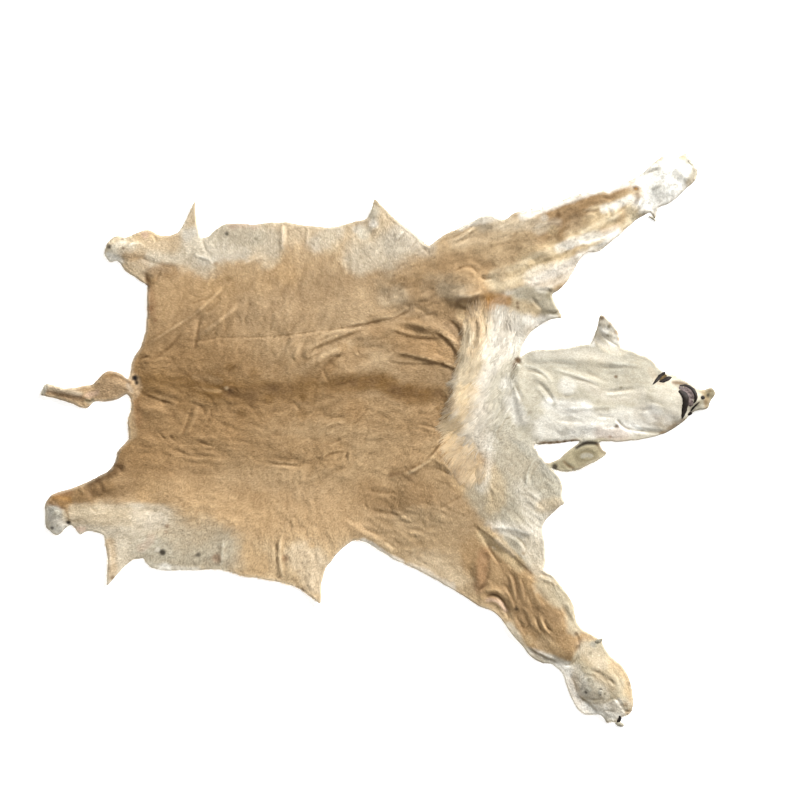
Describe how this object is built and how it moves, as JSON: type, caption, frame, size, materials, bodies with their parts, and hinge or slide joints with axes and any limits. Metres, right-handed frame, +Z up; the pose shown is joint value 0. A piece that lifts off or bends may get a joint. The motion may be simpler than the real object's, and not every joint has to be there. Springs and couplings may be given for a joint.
{
  "type": "lion skin",
  "caption": "Maneless lion skin with its coat on, lying flat coat side up, with spread legs, dried paws, flattened head with both ears, pale neck hair and a short twisted tail.",
  "frame": {"origin": "centre of the skin's bounding box in plan, on the surface it rests on", "axes": "+X towards the nose, +Y towards the far legs, +Z up out of the coat"},
  "size_m": [1.8584, 1.5806, 0.028],
  "materials": {
    "coat": "short dense fur lying flat, fawn on the back, darker along the spine, cream on belly, neck, head and paws, on a pale dressed skin",
    "neck_hair": "longer loose cream hair with tan at its roots",
    "bare_skin": "dried bare nose, lips and paw pads, near black to grey, slightly glossy",
    "claw_horn": "dull grey horn"
  },
  "bodies": {
    "root": {"hide": "coat"}
  },
  "joints": []
}
